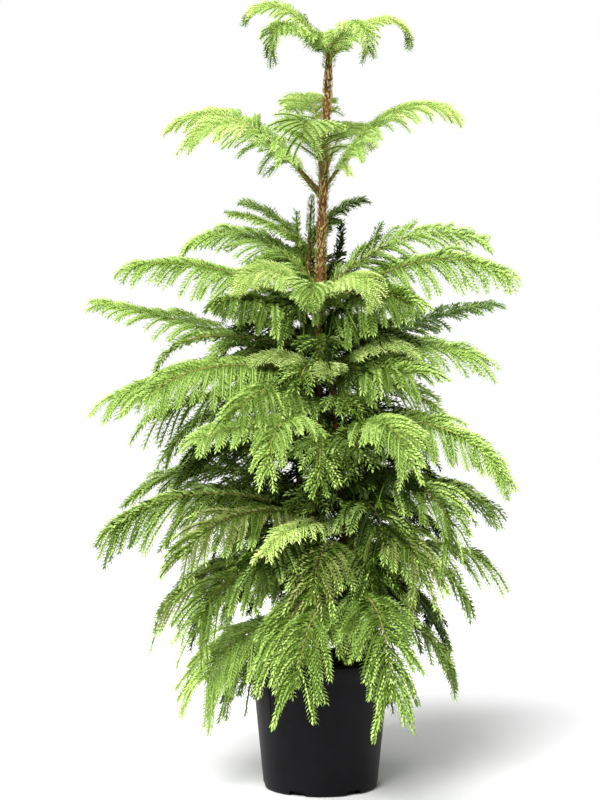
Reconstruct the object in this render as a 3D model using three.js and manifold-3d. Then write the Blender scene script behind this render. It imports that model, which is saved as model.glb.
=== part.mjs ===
// A potted Norfolk Island pine: four stems from one root, ringed by whorls of drooping boughs.
// Millimetres and degrees, +Z up. The origin is the centre of the pot's flat underside.
// A heading is measured in plan from +X toward +Y, so 270 faces the front.
import * as THREE from "three";
import { mergeVertices } from "three/addons/utils/BufferGeometryUtils.js";
import Module from "manifold-3d";

const wasm = await Module();
wasm.setup();

// Clearances
const SEAT_GAP = 0.3;
const TWIG_CLEARANCE = 0.5;
const WELD = 1e-4;

// Pot
const POT_HEIGHT = 236;
const POT_BASE_RADIUS = 104;
const POT_CORNER = 5;
const POT_WALL = 2.5;
const POT_FLOOR = 12;
const POT_SHOULDER_RADIUS = 126;
const POT_RIM_RADIUS = 130;
const POT_LIP_HEIGHT = 15;
const POT_LIP_ROUND = 2;
const POT_SIDES = 36;
const NOTCH_COUNT = 6;
const NOTCH_FIRST_HEADING = 245;
const NOTCH_WIDTH = 26;
const NOTCH_HEIGHT = 9;
const NOTCH_DEPTH = 12;

// Soil
const SOIL_TOP = 221;

// Stems: foot and tip in plan, how far the middle bows along X, the height where the wood
// gives way to a leafy tuft, the tip's height, and the radius at the foot and at the tuft
const STEMS = {
  trunk: { foot: [-3, 0], tip: [14, 0], bow: -9, fork: 1328, top: 1386, thick: 11.5, thin: 6 },
  stem_back: { foot: [-44, 38], tip: [-16, 40], bow: -6, fork: 968, top: 1086, thick: 8, thin: 4 },
  stem_front: { foot: [2, -42], tip: [-1, -52], bow: -4, fork: 836, top: 882, thick: 8, thin: 4 },
  stem_right: { foot: [50, -36], tip: [14, -66], bow: 8, fork: 728, top: 792, thick: 8, thin: 4 },
};
const STEM_STEPS = 10;
const STEM_SIDES = 8;
const LEADER_SIDES = 5;
const LEADER_STEP_IN = 1;
const STEM_CROWDING = 1.5;
const FLARE = 0.45;
const FLARE_HEIGHT = 30;

// Tufts: the leafy tops of the stems. A bough row is heading, length, rise at its root and
// pitch at its tip. Twig is the longest twig's length, and hang is how strongly twigs droop.
const TUFTS = {
  tuft_top: {
    stem: "trunk", twig: 40, hang: 0.6,
    boughs: [
      [10, 222, 57, -88], [95, 175, 58, -65], [168, 220, 60, -80],
      [222, 228, 47, -112], [300, 205, 43, -116],
    ],
  },
  tuft_back: {
    stem: "stem_back", twig: 58, hang: 0.5,
    boughs: [[20, 180, 60, 10], [45, 120, 66, -10], [165, 185, 66, -40], [205, 190, 54, -40]],
  },
  tuft_front: {
    stem: "stem_front", twig: 66, hang: 1,
    boughs: [[200, 215, 66, -72], [315, 215, 68, -95]],
  },
  tuft_right: {
    stem: "stem_right", twig: 52, hang: 1,
    boughs: [[188, 190, 40, -30], [265, 115, 40, -45], [345, 180, 44, -35]],
  },
};
const TUFT_BOUGH_START = 8;
const TUFT_BOUGH_STAGGER = 5;

// Whorls: rings of boughs down the stems, named from the top, with rows as above. Limbed
// boughs are bare wood at their root, and their spray starts where the wood ends.
const WHORLS = {
  second: {
    stem: "trunk", height: 1099, twig: 78, hang: 0.7, limbed: true,
    boughs: [
      [106, 300, 76, -45], [58, 270, 70, -60], [258, 270, 62, -60],
      [350, 325, 58, -50], [203, 355, 53, -50], [160, 330, 48, -45],
    ],
  },
  third: {
    stem: "trunk", height: 905, twig: 105, hang: 0.9,
    boughs: [[165, 330, 56, -55], [12, 375, 49, -52], [104, 375, 46, -50]],
  },
  third_low: {
    stem: "trunk", height: 866, twig: 105, hang: 0.9,
    boughs: [[343, 385, 33, -48], [192, 395, 28, -20]],
  },
  fourth: {
    stem: "trunk", height: 762, twig: 120, hang: 1,
    boughs: [
      [25, 392, 39, -20], [98, 400, 33, -40], [176, 455, 29, -16],
      [350, 340, 22, -35], [215, 380, 15, -50], [192, 440, 8, -35],
    ],
  },
  fifth: {
    stem: "trunk", height: 632, twig: 125, hang: 1.3,
    boughs: [[335, 462, 29, -86], [52, 410, 26, -50], [146, 400, 22, -50]],
  },
  front_fifth: {
    stem: "stem_front", height: 624, twig: 105, hang: 1.5,
    boughs: [[245, 305, 36, -100], [222, 305, 34, -60]],
  },
  right_fifth: { stem: "stem_right", height: 632, twig: 105, hang: 1.5, boughs: [[305, 250, 42, -95]] },
  sixth: {
    stem: "trunk", height: 510, twig: 130, hang: 1.5,
    boughs: [
      [162, 415, 32, -60], [8, 362, 25, -55], [88, 410, 24, -60],
      [190, 432, 18, -60], [218, 345, 12, -70],
    ],
  },
  right_sixth: { stem: "stem_right", height: 530, twig: 120, hang: 1.7, boughs: [[325, 345, 32, -100]] },
  right_sixth_low: { stem: "stem_right", height: 490, twig: 70, hang: 1.3, boughs: [[235, 250, 18, -65]] },
  seventh: {
    stem: "trunk", height: 398, twig: 130, hang: 1.9,
    boughs: [
      [3, 405, 29, -68], [180, 410, 28, -86], [122, 390, 20, -75],
      [58, 390, 20, -75], [213, 378, 14, -76],
    ],
  },
  right_seventh: {
    stem: "stem_right", height: 440, twig: 110, hang: 1.9,
    boughs: [[312, 290, 28, -100], [248, 255, 18, -98]],
  },
  lowest: {
    stem: "trunk", height: 300, twig: 115, hang: 2,
    boughs: [[350, 374, 24, -104], [197, 352, 15, -99], [112, 345, 14, -92], [70, 340, 14, -92]],
  },
  right_lowest: {
    stem: "stem_right", height: 326, twig: 110, hang: 2,
    boughs: [[232, 345, 25, -100], [292, 430, 24, -102], [268, 395, 22, -102]],
  },
};
const WHORL_STAGGER = 9;
const LIMB_STEPS = 2;

// Growth rule: a bough's pitch turns slowly at first and faster toward its tip
const BOUGH_STEPS = 6;
const PITCH_POWER = 1.8;
const LIMB_SIDES = 6;
const TWIG_SIDES = 3;
const BOUGH_ROOT_RADIUS = 3.4;
const BOUGH_TIP_RADIUS = 0.9;
const TWIG_PITCH = 90;
const FEWEST_TWIGS = 2;
const FIRST_TWIG = 0.2;
const LAST_TWIG = 0.96;
const FULLEST = 0.45;
const ROOT_SHARE = 0.5;
const TIP_SHARE = 0.3;
const TIP_POWER = 1.5;
const TWIG_SPREAD = 60;
const TWIG_LIFT = 0.15;
const TWIG_LENGTH_VARIES = 0.12;
const TWIG_PLACE_VARIES = 0.15;
const SEED_STEP = 100;

// A twig is one blade of needles with a tooth on each edge: share along, half width, half depth
const BLADE = [
  { along: 0, width: 1.3, depth: 0.2 },
  { along: 0.5, width: 13, depth: 2 },
  { along: 0.6, width: 6, depth: 1.6 },
  { along: 1, width: 0, depth: 0 },
];

// Colours
const POT_LOOK = { color: 0x252428, roughness: 0.55, metalness: 0 };
const SOIL_LOOK = { color: 0x2c231c, roughness: 1, metalness: 0 };
const BARK_LOOK = { color: 0x6a4732, roughness: 0.9, metalness: 0 };
const FOLIAGE_LOOK = { color: 0x8fb84c, roughness: 0.7, metalness: 0 };

const UP = new THREE.Vector3(0, 0, 1);
const radians = THREE.MathUtils.degToRad;
const mix = THREE.MathUtils.lerp;

// Seeded random numbers from 0 to 1
function seeded(seed) {
  let state = seed;
  return () => {
    state = (state + 0x6d2b79f5) | 0;
    let value = Math.imul(state ^ (state >>> 15), 1 | state);
    value = (value + Math.imul(value ^ (value >>> 7), 61 | value)) ^ value;
    return ((value ^ (value >>> 14)) >>> 0) / 4294967296;
  };
}

// A closed geometry as a solid that can be joined and cut
function solidOf(geometry) {
  geometry.deleteAttribute("normal");
  geometry.deleteAttribute("uv");
  const welded = mergeVertices(geometry, WELD);
  const corners = [];
  for (let i = 0; i < welded.index.count; i += 3) {
    const [a, b, c] = [0, 1, 2].map((k) => welded.index.getX(i + k));
    if (a !== b && b !== c && c !== a) corners.push(a, b, c);
  }
  return new wasm.Manifold(new wasm.Mesh({
    numProp: 3,
    vertProperties: new Float32Array(welded.attributes.position.array),
    triVerts: new Uint32Array(corners),
  }));
}

function geometryOf(solid) {
  const mesh = solid.getMesh();
  const geometry = new THREE.BufferGeometry();
  geometry.setAttribute("position", new THREE.BufferAttribute(new Float32Array(mesh.vertProperties), 3));
  geometry.setIndex(new THREE.BufferAttribute(new Uint32Array(mesh.triVerts), 1));
  geometry.computeVertexNormals();
  return geometry;
}

// A cylinder led through stations, each with a point, two directions across and half sizes
function sweep(stations, sides) {
  const steps = stations.length - 1;
  const geometry = new THREE.CylinderGeometry(stations[steps].width > 0 ? 1 : 0, 1, 1, sides, steps);
  const place = geometry.attributes.position;
  for (let i = 0; i < place.count; i += 1) {
    const station = stations[Math.round((place.getY(i) + 0.5) * steps)];
    const reach = Math.hypot(place.getX(i), place.getZ(i)) || 1;
    const spot = station.point.clone();
    spot.addScaledVector(station.across, (place.getX(i) / reach) * station.width);
    spot.addScaledVector(station.over, (place.getZ(i) / reach) * station.depth);
    place.setXYZ(i, spot.x, spot.y, spot.z);
  }
  return solidOf(geometry);
}

// A profile of radius and height pairs turned about Z
function turned(profile) {
  const points = profile.map(([radius, height]) => new THREE.Vector2(radius, height));
  return solidOf(new THREE.LatheGeometry(points, POT_SIDES).rotateX(Math.PI / 2));
}

function arc(centre, radius, from, to, steps) {
  return Array.from({ length: steps + 1 }, (_, i) => {
    const angle = radians(mix(from, to, i / steps));
    return [centre[0] + radius * Math.cos(angle), centre[1] + radius * Math.sin(angle)];
  });
}

// Pot and soil
function wallRadius(height) {
  return mix(POT_BASE_RADIUS, POT_SHOULDER_RADIUS, height / (POT_HEIGHT - POT_LIP_HEIGHT));
}

function potSolid() {
  const lipFoot = POT_HEIGHT - POT_LIP_HEIGHT;
  const inside = (height) => wallRadius(height) - POT_WALL;
  const lipInside = inside(lipFoot);
  const pot = turned([
    [0, 0],
    ...arc([POT_BASE_RADIUS - POT_CORNER, POT_CORNER], POT_CORNER, -90, 0, 3),
    [wallRadius(lipFoot), lipFoot],
    [POT_RIM_RADIUS, lipFoot + POT_LIP_ROUND],
    ...arc([POT_RIM_RADIUS - POT_LIP_ROUND, POT_HEIGHT - POT_LIP_ROUND], POT_LIP_ROUND, 0, 90, 2),
    [lipInside, POT_HEIGHT],
    [lipInside, lipFoot],
    [inside(POT_FLOOR), POT_FLOOR],
    [0, POT_FLOOR],
  ]);
  return notches().reduce((body, notch) => body.subtract(notch), pot);
}

function notches() {
  const length = NOTCH_DEPTH * 2;
  const centre = POT_BASE_RADIUS;
  return Array.from({ length: NOTCH_COUNT }, (_, i) => {
    const heading = radians(NOTCH_FIRST_HEADING + (360 / NOTCH_COUNT) * i);
    const box = new THREE.BoxGeometry(length, NOTCH_WIDTH, NOTCH_HEIGHT * 2).rotateZ(heading);
    return solidOf(box.translate(centre * Math.cos(heading), centre * Math.sin(heading), 0));
  });
}

function soilSolid() {
  const floor = POT_FLOOR + SEAT_GAP;
  const edge = (height) => wallRadius(height) - POT_WALL - 2 * SEAT_GAP;
  return turned([[0, floor], [edge(floor), floor], [edge(SOIL_TOP), SOIL_TOP], [0, SOIL_TOP]]);
}

// Stems
function stemPoint(stem, height) {
  const share = (height - SOIL_TOP) / (stem.top - SOIL_TOP);
  const x = mix(stem.foot[0], stem.tip[0], share) + stem.bow * Math.sin(Math.PI * share);
  return new THREE.Vector3(x, mix(stem.foot[1], stem.tip[1], share), height);
}

function stemRadius(stem, height) {
  const share = (height - SOIL_TOP) / (stem.fork - SOIL_TOP);
  const flare = 1 + FLARE * Math.exp(-(height - SOIL_TOP) / FLARE_HEIGHT);
  return mix(stem.thick, stem.thin, share) * flare;
}

function levelStation(point, radius) {
  return {
    point,
    across: new THREE.Vector3(1, 0, 0),
    over: new THREE.Vector3(0, -1, 0),
    width: radius,
    depth: radius,
  };
}

function stemSolid(stem, extra) {
  const foot = SOIL_TOP + SEAT_GAP;
  const stations = Array.from({ length: STEM_STEPS + 1 }, (_, i) => {
    const height = mix(foot, stem.fork, (i / STEM_STEPS) ** STEM_CROWDING);
    return levelStation(stemPoint(stem, height), stemRadius(stem, height) + extra);
  });
  return sweep(stations, STEM_SIDES);
}

// Boughs
function boughStations(start, [heading, length, rise, nod]) {
  const turn = radians(heading);
  const out = new THREE.Vector3(Math.cos(turn), Math.sin(turn), 0);
  const across = new THREE.Vector3(-Math.sin(turn), Math.cos(turn), 0);
  const alongAt = (share) => {
    const pitch = radians(mix(rise, nod, share ** PITCH_POWER));
    return out.clone().multiplyScalar(Math.cos(pitch)).addScaledVector(UP, Math.sin(pitch));
  };
  const point = start.clone();
  return Array.from({ length: BOUGH_STEPS + 1 }, (_, i) => {
    if (i > 0) point.addScaledVector(alongAt((i - 0.5) / BOUGH_STEPS), length / BOUGH_STEPS);
    const along = alongAt(i / BOUGH_STEPS);
    const radius = mix(BOUGH_ROOT_RADIUS, BOUGH_TIP_RADIUS, i / BOUGH_STEPS);
    return {
      point: point.clone(),
      along,
      across,
      over: across.clone().cross(along),
      width: radius,
      depth: radius,
    };
  });
}

function stationAt(stations, share) {
  const place = share * (stations.length - 1);
  const before = Math.min(Math.floor(place), stations.length - 2);
  const [a, b] = [stations[before], stations[before + 1]];
  return {
    point: a.point.clone().lerp(b.point, place - before),
    along: a.along.clone().lerp(b.along, place - before).normalize(),
    across: a.across,
  };
}

// Twigs: longest near the middle of the bough, shorter at its root and tip
function twigShare(share) {
  if (share < FULLEST) return mix(ROOT_SHARE, 1, Math.sin((Math.PI / 2) * (share / FULLEST)));
  return mix(1, TIP_SHARE, ((share - FULLEST) / (1 - FULLEST)) ** TIP_POWER);
}

function twigBlade(station, side, length, hang, extra) {
  const spread = radians(TWIG_SPREAD);
  const start = station.along.clone().multiplyScalar(Math.cos(spread));
  start.addScaledVector(station.across, side * Math.sin(spread));
  start.addScaledVector(UP, TWIG_LIFT);
  const point = station.point.clone();
  const stations = BLADE.map((ring, i) => {
    const [from, to] = i > 0 ? [BLADE[i - 1].along, ring.along] : [ring.along, BLADE[1].along];
    const along = start.clone().addScaledVector(UP, (-hang * (from + to)) / 2).normalize();
    if (i > 0) point.addScaledVector(along, (to - from) * length);
    const over = station.along.clone().cross(along).normalize();
    const fatter = ring.width > 0 ? extra : 0;
    return {
      point: point.clone(),
      across: along.clone().cross(over),
      over,
      width: ring.width + fatter,
      depth: ring.depth + fatter,
    };
  });
  return sweep(stations, TWIG_SIDES);
}

// Twigs alternate from side to side, a little unevenly
function twigRows(row, twig, seed) {
  const random = seeded(seed);
  const varied = (most) => (random() * 2 - 1) * most;
  const count = Math.max(FEWEST_TWIGS, Math.round(row[1] / TWIG_PITCH));
  const rows = [];
  for (let k = 0; k < count; k += 1) {
    for (const side of [1, -1]) {
      const place = k + 0.5 - side / 4 + varied(TWIG_PLACE_VARIES);
      const share = mix(FIRST_TWIG, LAST_TWIG, place / count);
      const length = twig * twigShare(share) * (1 + varied(TWIG_LENGTH_VARIES));
      rows.push({ share, side, length });
    }
  }
  return rows;
}

// The assembly: stems and limbs first, then each mass's own wood, then twigs dealt out in turn
const plant = new THREE.Group();

function addNode(name, solid, look) {
  const mesh = new THREE.Mesh(geometryOf(solid), new THREE.MeshStandardMaterial(look));
  mesh.name = name;
  plant.add(mesh);
}

function boxOf(solid) {
  const { min, max } = solid.boundingBox();
  return new THREE.Box3(new THREE.Vector3(...min), new THREE.Vector3(...max));
}

const standing = [];
function stand(owner, solid) {
  standing.push({ owner, solid, box: boxOf(solid) });
}

function meetsAnother(owner, solid) {
  const box = boxOf(solid);
  return standing.some((other) => other.owner !== owner
    && other.box.intersectsBox(box)
    && !other.solid.intersect(solid).isEmpty());
}

const pot = potSolid();
const soil = soilSolid();
addNode("pot", pot, POT_LOOK);
addNode("soil", soil, SOIL_LOOK);
stand("pot", pot);
stand("soil", soil);

const stemCutters = {};
for (const [name, stem] of Object.entries(STEMS)) {
  const wood = stemSolid(stem, 0);
  stemCutters[name] = stemSolid(stem, SEAT_GAP);
  addNode(name, wood, BARK_LOOK);
  stand(name, wood);
}

const masses = [];
function addMass(name, wood, branches) {
  masses.push({ name, wood, branches });
  stand(name, wood);
}

for (const [name, tuft] of Object.entries(TUFTS)) {
  const stem = STEMS[tuft.stem];
  const foot = stem.fork + SEAT_GAP;
  const leader = [0, 0.5, 1].map((share) => {
    const height = mix(foot, stem.top, share);
    return levelStation(stemPoint(stem, height), mix(stem.thin - LEADER_STEP_IN, 0, share));
  });
  let wood = sweep(leader, LEADER_SIDES);
  const branches = tuft.boughs.map((row, i) => {
    const root = stemPoint(stem, foot + TUFT_BOUGH_START + TUFT_BOUGH_STAGGER * i);
    const stations = boughStations(root, row);
    wood = wood.add(sweep(stations, TWIG_SIDES));
    return { stations, row, twig: tuft.twig, hang: tuft.hang };
  });
  addMass(name, wood, branches);
}

for (const [name, whorl] of Object.entries(WHORLS)) {
  const stem = STEMS[whorl.stem];
  whorl.boughs.forEach((row, i) => {
    const height = whorl.height + WHORL_STAGGER * ((whorl.boughs.length - 1) / 2 - i);
    let stations = boughStations(stemPoint(stem, height), row);
    if (whorl.limbed) {
      const limb = sweep(stations.slice(0, LIMB_STEPS + 1), LIMB_SIDES).subtract(stemCutters[whorl.stem]);
      addNode(`bough_${name}_${i + 1}`, limb, BARK_LOOK);
      stand(`bough_${name}_${i + 1}`, limb);
      stations = stations.slice(LIMB_STEPS);
      stations[0].point.addScaledVector(stations[0].along, SEAT_GAP);
    }
    const wood = sweep(stations, TWIG_SIDES).subtract(stemCutters[whorl.stem]);
    addMass(`spray_${name}_${i + 1}`, wood, [{ stations, row, twig: whorl.twig, hang: whorl.hang }]);
  });
}

masses.forEach((mass, m) => {
  mass.twigs = mass.branches.flatMap((branch, b) => {
    const rows = twigRows(branch.row, branch.twig, SEED_STEP * m + b + 1);
    return rows.map((row) => ({ ...row, branch }));
  });
});

const mostTwigs = Math.max(...masses.map((mass) => mass.twigs.length));
for (let turn = 0; turn < mostTwigs; turn += 1) {
  for (const mass of masses.filter((candidate) => candidate.twigs.length > turn)) {
    const { share, side, length, branch } = mass.twigs[turn];
    const station = stationAt(branch.stations, share);
    if (!meetsAnother(mass.name, twigBlade(station, side, length, branch.hang, TWIG_CLEARANCE))) {
      const twig = twigBlade(station, side, length, branch.hang, 0);
      mass.wood = mass.wood.add(twig);
      stand(mass.name, twig);
    }
  }
}

masses.forEach((mass) => addNode(mass.name, mass.wood, FOLIAGE_LOOK));

export default plant;
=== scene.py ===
# A potted Norfolk Island pine: bark, twigs, needles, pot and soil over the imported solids.
# Tables are in millimetres and degrees, as in the part's source, and MM turns them into metres.
# A heading is measured in plan from +X toward +Y, so 270 faces the front.
import math

import bpy
import numpy as np
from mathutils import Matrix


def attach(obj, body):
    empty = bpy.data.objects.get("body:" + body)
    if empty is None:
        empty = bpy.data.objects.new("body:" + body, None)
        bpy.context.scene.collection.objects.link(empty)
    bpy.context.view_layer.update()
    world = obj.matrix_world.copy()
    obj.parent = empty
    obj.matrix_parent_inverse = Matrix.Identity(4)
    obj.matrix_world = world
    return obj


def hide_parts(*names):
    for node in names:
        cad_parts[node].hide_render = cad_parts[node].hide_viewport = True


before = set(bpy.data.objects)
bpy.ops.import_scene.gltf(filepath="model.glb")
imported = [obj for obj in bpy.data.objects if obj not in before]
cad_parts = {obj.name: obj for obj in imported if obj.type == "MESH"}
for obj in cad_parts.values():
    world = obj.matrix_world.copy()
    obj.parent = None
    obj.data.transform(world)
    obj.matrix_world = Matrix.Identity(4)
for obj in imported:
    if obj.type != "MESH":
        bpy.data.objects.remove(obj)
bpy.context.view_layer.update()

MM = 0.001
UP = np.array((0.0, 0.0, 1.0))
SEED = 41
BODY = "root"

# The share of a direction along an axis from which it counts as that axis
NEARLY = 0.9

# Photograph: 600 by 800 pixels, level view
CAMERA_PLACE = (-0.0377, -3.3, 0.709)
FOCAL_PIXELS = 1793
FRAME_HEIGHT_PIXELS = 800
SENSOR_HEIGHT = 24

# Studio: how bright the white surround looks and how much light it gives, a broad key from the
# upper left, lamps with their places, widths and watts, and the floor, in metres
SKY_SEEN = 1.0
SKY_LIGHT = 0.08
KEY_STRENGTH = 5.7
KEY_ANGLE = 36
KEY_TILT = (47, 0, -22)
LAMPS = (
    ("fill", (2.2, -2.6, 1.5), 2.0, 14),
    ("top", (0, 0.2, 3.4), 2.4, 34),
    ("back", (-1.4, 2.8, 1.9), 2.0, 34),
)
LAMP_AIM = (0, 0, 0.7)
FLOOR_SIZE = 16
FLOOR_LEVEL = -0.0005

# Pot
POT_HEIGHT = 236
POT_BASE_RADIUS = 104
POT_CORNER = 5
POT_WALL = 2.5
POT_SHOULDER_RADIUS = 126
POT_RIM_RADIUS = 130
POT_LIP_HEIGHT = 19
POT_LIP_ROUND = 5
POT_LIP_EASE = 1
POT_LIP_FOOT_STEP = 0.4
POT_INSIDE_DEPTH = 40
POT_SIDES = 96
POT_CORNER_STEPS = 6
POT_WALL_RINGS = 14
POT_LIP_STEPS = 5
POT_SMOOTH_ANGLE = 35
NOTCH_COUNT = 6
NOTCH_FIRST_HEADING = 245
NOTCH_WIDTH = 26
NOTCH_HEIGHT = 9
NOTCH_DEPTH = 12
NOTCH_SLOPE = 5
NOTCH_SLOPE_STEPS = 4
RIB_HEADINGS = (217, 337, 97)
RIB_WIDTH = 17
RIB_FOOT = 118
RIB_HEAD = 222
RIB_PROUD = 0.7
RIB_BEVEL = 0.6
RIB_BEVEL_STEPS = 3

# Soil
SOIL_TOP = 221
SOIL_DEPTH = 14
SOIL_EDGE_GAP = 0.6
SOIL_SIDES = 64
SOIL_RINGS = 16
SOIL_LUMP = 5
SOIL_LUMP_SPREAD = 10
SOIL_LUMP_DETAIL = 4
SOIL_LUMPED_SHARE = 0.97
CHIP_COUNT = 900
CHIP_LARGEST = 7
CHIP_SIZES = (0.25, 1)
CHIP_CORNERS = (0.4, 1)
CHIP_SHAPE = (1, 0.7, 0.5)

# Stems: foot and tip in plan, how far the middle bows along X, the height where the wood
# gives way to a leafy tuft, the tip's height, and the radius at the foot and at the tuft
STEMS = {
    "trunk": dict(foot=(-3, 0), tip=(18, 0), bow=-11, fork=1328, top=1386, thick=11.5, thin=6),
    "stem_back": dict(foot=(-44, 38), tip=(-16, 40), bow=-6, fork=968, top=1086, thick=8, thin=4),
    "stem_front": dict(foot=(2, -42), tip=(-1, -52), bow=-4, fork=836, top=882, thick=8, thin=4),
    "stem_right": dict(foot=(50, -36), tip=(14, -66), bow=8, fork=728, top=792, thick=8, thin=4),
}
STEM_SIDES = 16
STEM_STEP = 14
STEM_SUNK = 8
LEADER_TIP_RADIUS = 1.2
FLARE = 0.45
FLARE_HEIGHT = 30
KNUCKLE = 0.28
KNUCKLE_HEIGHT = 13
BARK_GRAIN = 7
BARK_DETAIL = 3
BARK_RELIEF = 1.5
LIMB_SIDES = 10
LIMB_GRAIN = 3.5
LIMB_RELIEF = 0.8
LIMB_SWELL = 1.15

# Tufts: the leafy tops of the stems. A bough row is heading, length, rise at its root, pitch
# at its tip and tone, which carries painted light and shade as well as the needles' own green.
# Twig is the longest twig's length, tip the share of it left at the bough's end, hang how strongly
# twigs droop, and lift how far they rise at first. A higher bend keeps a bough straight for longer,
# and ends is the tone of the twigs past ENDS_FROM, a darker one that paints shade on the tips.
TUFTS = {
    "tuft_top": dict(stem="trunk", twig=36, tip=0.6, hang=0.9, lift=0.2, bend=3, ends="mid", boughs=[
        (10, 222, 47, -100, "pale"), (95, 160, 45, -65, "fresh"), (170, 225, 52, -72, "pale"),
        (230, 235, 20, -120, "fresh"), (292, 232, 18, -120, "pale"),
    ]),
    "tuft_back": dict(stem="stem_back", twig=24, tip=0.6, hang=0.6, lift=0.3, boughs=[
        (20, 180, 66, 5, "bright"), (45, 120, 66, -10, "bright"), (165, 180, 50, 10, "fresh"),
        (205, 190, 30, 0, "fresh"),
    ]),
    "tuft_front": dict(stem="stem_front", twig=62, tip=0.4, hang=1.2, lift=0.3, boughs=[
        (200, 245, 68, -75, "pale"), (315, 215, 68, -95, "pale"), (260, 160, 66, -85, "fresh"),
    ]),
    "tuft_right": dict(stem="stem_right", twig=36, tip=0.6, hang=1, lift=0.3, boughs=[
        (190, 195, 42, -45, "pale"), (265, 115, 40, -45, "pale"), (345, 200, 48, -45, "pale"),
    ]),
}
TUFT_BOUGH_START = 8
TUFT_BOUGH_STAGGER = 5

# Whorls: rings of boughs down the stems, named from the top, with rows as above. Limbed
# boughs show their wood over the first LIMB_SHARE of their length.
WHORLS = {
    "second": dict(
        stem="trunk", height=1099, twig=60, tip=0.48, hang=1.05, lift=0.25, bend=2.4, limbed=True,
        boughs=[
            (105, 320, 70, -45, "pale"), (60, 260, 62, -60, "pale"), (255, 250, 60, -90, "fresh"),
            (350, 340, 55, -38, "pale"), (205, 350, 45, -58, "pale"), (160, 410, 51, -34, "pale"),
        ]),
    "third": dict(stem="trunk", height=905, twig=80, tip=0.36, hang=0.9, lift=0.3, boughs=[
        (165, 325, 47, -35, "fresh"), (10, 386, 41, -26, "fresh"), (105, 375, 44, -50, "bright"),
    ]),
    "third_low": dict(stem="trunk", height=866, twig=90, tip=0.34, hang=1.4, lift=0.15, boughs=[
        (345, 415, 34, -34, "fresh"), (190, 412, 30, -16, "fresh"),
    ]),
    "fourth": dict(stem="trunk", height=762, twig=90, tip=0.34, hang=0.85, lift=0.3, boughs=[
        (25, 425, 21, 8, "grey"), (100, 400, 28, -40, "bright"), (175, 475, 21, 8, "fresh"),
        (350, 310, 22, -20, "fresh"), (215, 415, 12, -38, "fresh"), (190, 415, 12, -32, "fresh"),
    ]),
    "fifth": dict(stem="trunk", height=632, twig=92, tip=0.5, hang=1.0, lift=0.15, boughs=[
        (335, 442, 16, -62, "fresh"), (50, 410, 22, -50, "mid"), (145, 365, 20, -50, "mid"),
    ]),
    "front_fifth": dict(stem="stem_front", height=624, twig=74, tip=0.55, hang=1.0, lift=0.2, boughs=[
        (245, 305, 34, -98, "fresh"), (220, 310, 21, -28, "fresh"),
    ]),
    "right_fifth": dict(stem="stem_right", height=632, twig=80, tip=0.55, hang=1.0, lift=0.2, boughs=[
        (305, 275, 30, -88, "fresh"),
    ]),
    "sixth": dict(stem="trunk", height=510, twig=104, tip=0.6, hang=1.0, lift=0.1, boughs=[
        (160, 415, 22, -38, "bright"), (10, 380, 18, -38, "bright"), (90, 410, 22, -60, "mid"),
        (190, 430, 17, -41, "bright"), (220, 360, 12, -50, "olive"),
    ]),
    "right_sixth": dict(stem="stem_right", height=530, twig=100, tip=0.6, hang=1.2, lift=0.15, boughs=[
        (325, 325, 25, -100, "bright"),
    ]),
    "right_sixth_low": dict(stem="stem_right", height=490, twig=46, tip=0.6, hang=1.0, lift=0.15, boughs=[
        (235, 280, 4, -35, "pale"),
    ]),
    "seventh": dict(stem="trunk", height=398, twig=115, tip=0.75, hang=1.2, lift=0.1, boughs=[
        (5, 340, 14, -24, "bright"), (180, 340, 8, -60, "olive"), (120, 390, 16, -75, "bright"),
        (60, 390, 16, -75, "bright"), (215, 335, 18, -80, "bright"),
    ]),
    "right_seventh": dict(stem="stem_right", height=440, twig=100, tip=0.75, hang=1.3, lift=0.1, boughs=[
        (310, 290, 28, -100, "olive"), (250, 255, 18, -100, "olive"),
    ]),
    "lowest": dict(stem="trunk", height=300, twig=125, tip=0.8, hang=1.4, lift=0.1, boughs=[
        (352, 320, 6, -75, "bright"), (210, 290, 4, -68, "fresh"), (110, 345, 12, -90, "bright"),
        (70, 340, 12, -90, "bright"),
    ]),
    "right_lowest": dict(stem="stem_right", height=326, twig=110, tip=0.8, hang=1.8, lift=0.1, boughs=[
        (240, 310, 25, -95, "bright"), (281, 450, 24, -105, "bright"), (250, 365, 22, -95, "bright"),
    ]),
}
WHORL_STAGGER = 9
LIMB_SHARE = 2 / 6
ENDS_FROM = 0.9

# Sprays whose twigs differ from the rest of their whorl. First is where on the leafy part of the
# bough its twigs begin, with negative shares on the limb, and pitch the distance between twigs.
APART_SPRAYS = {
    "spray_second_3": dict(twig=74, tip=0.6, hang=0.8, first=-0.2),
    "spray_second_4": dict(twig=80, tip=0.4, first=-0.3),
    "spray_second_5": dict(twig=75, tip=0.4, first=-0.2),
    "spray_second_6": dict(twig=72, tip=0.4, lift=0.1, first=-0.1),
    "spray_third_1": dict(twig=88, hang=1.2, pitch=13),
    "spray_third_low_1": dict(twig=112, hang=1.6, pitch=12),
    "spray_third_low_2": dict(twig=105, hang=1.6, pitch=12),
    "spray_fourth_1": dict(twig=80, pitch=22),
    "spray_fourth_3": dict(twig=98, hang=1.1),
    "spray_fourth_4": dict(twig=110, tip=0.65, hang=1.2, pitch=12),
    "spray_fourth_5": dict(twig=100, tip=0.6, hang=1.4, lift=0.1),
    "spray_fourth_6": dict(twig=96, tip=0.8, hang=1.2, lift=0.1, pitch=10),
    "spray_fifth_1": dict(twig=100, tip=0.4, hang=1.2, lift=0, pitch=11),
    "spray_sixth_1": dict(twig=95, hang=0.8, lift=0.2),
    "spray_sixth_4": dict(twig=155, tip=0.45, hang=1.6, lift=0.05, pitch=11),
    "spray_seventh_1": dict(twig=108, tip=0.95, hang=1.5, pitch=19),
    "spray_lowest_1": dict(twig=75, tip=0.6),
    "spray_lowest_2": dict(twig=118, tip=0.9, hang=1.3, pitch=10),
    "spray_lowest_3": dict(twig=100),
    "spray_lowest_4": dict(twig=100),
    "spray_right_lowest_2": dict(twig=95, pitch=11),
}

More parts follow.
